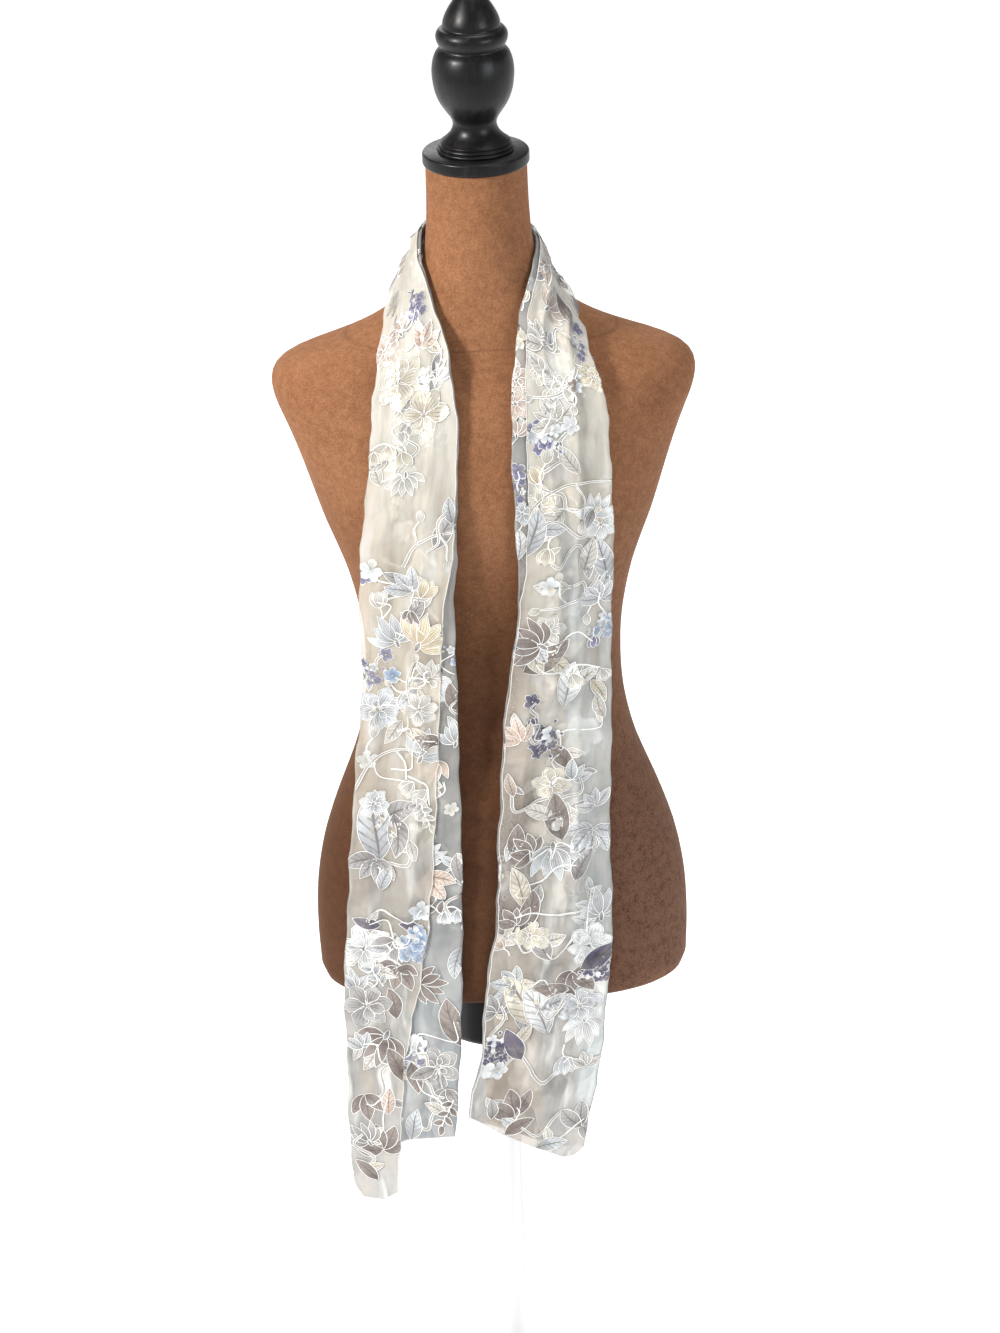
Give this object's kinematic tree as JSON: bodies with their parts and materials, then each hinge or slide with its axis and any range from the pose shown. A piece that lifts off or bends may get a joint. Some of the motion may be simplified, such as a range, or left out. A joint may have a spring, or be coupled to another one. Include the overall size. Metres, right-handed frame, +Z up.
{
  "type": "chiffon scarf on dress form",
  "caption": "Long floral satin-burnout chiffon scarf hung round the neck of a limbless brown suede dress form with a black turned finial, on a round stand.",
  "frame": {"origin": "centre of the stand's underside, where it rests on the floor", "axes": "+Z up, -Y towards the front of the form, where the scarf's two ends hang, +X to the viewer's right"},
  "size_m": [0.364, 0.3, 1.362],
  "materials": {
    "black_wood": "satin black stain",
    "satin_steel": "satin",
    "brown_suede": "suede nap",
    "ivory_chiffon": "sheer chiffon with satin motifs"
  },
  "bodies": {
    "root": {"base": "black_wood", "pole_socket": "black_wood", "pole": "satin_steel", "collar": "black_wood", "torso": "brown_suede", "neck_plate": "black_wood", "finial": "black_wood", "left_fall": "ivory_chiffon", "neck_wrap": "ivory_chiffon", "right_fall": "ivory_chiffon"}
  },
  "joints": []
}
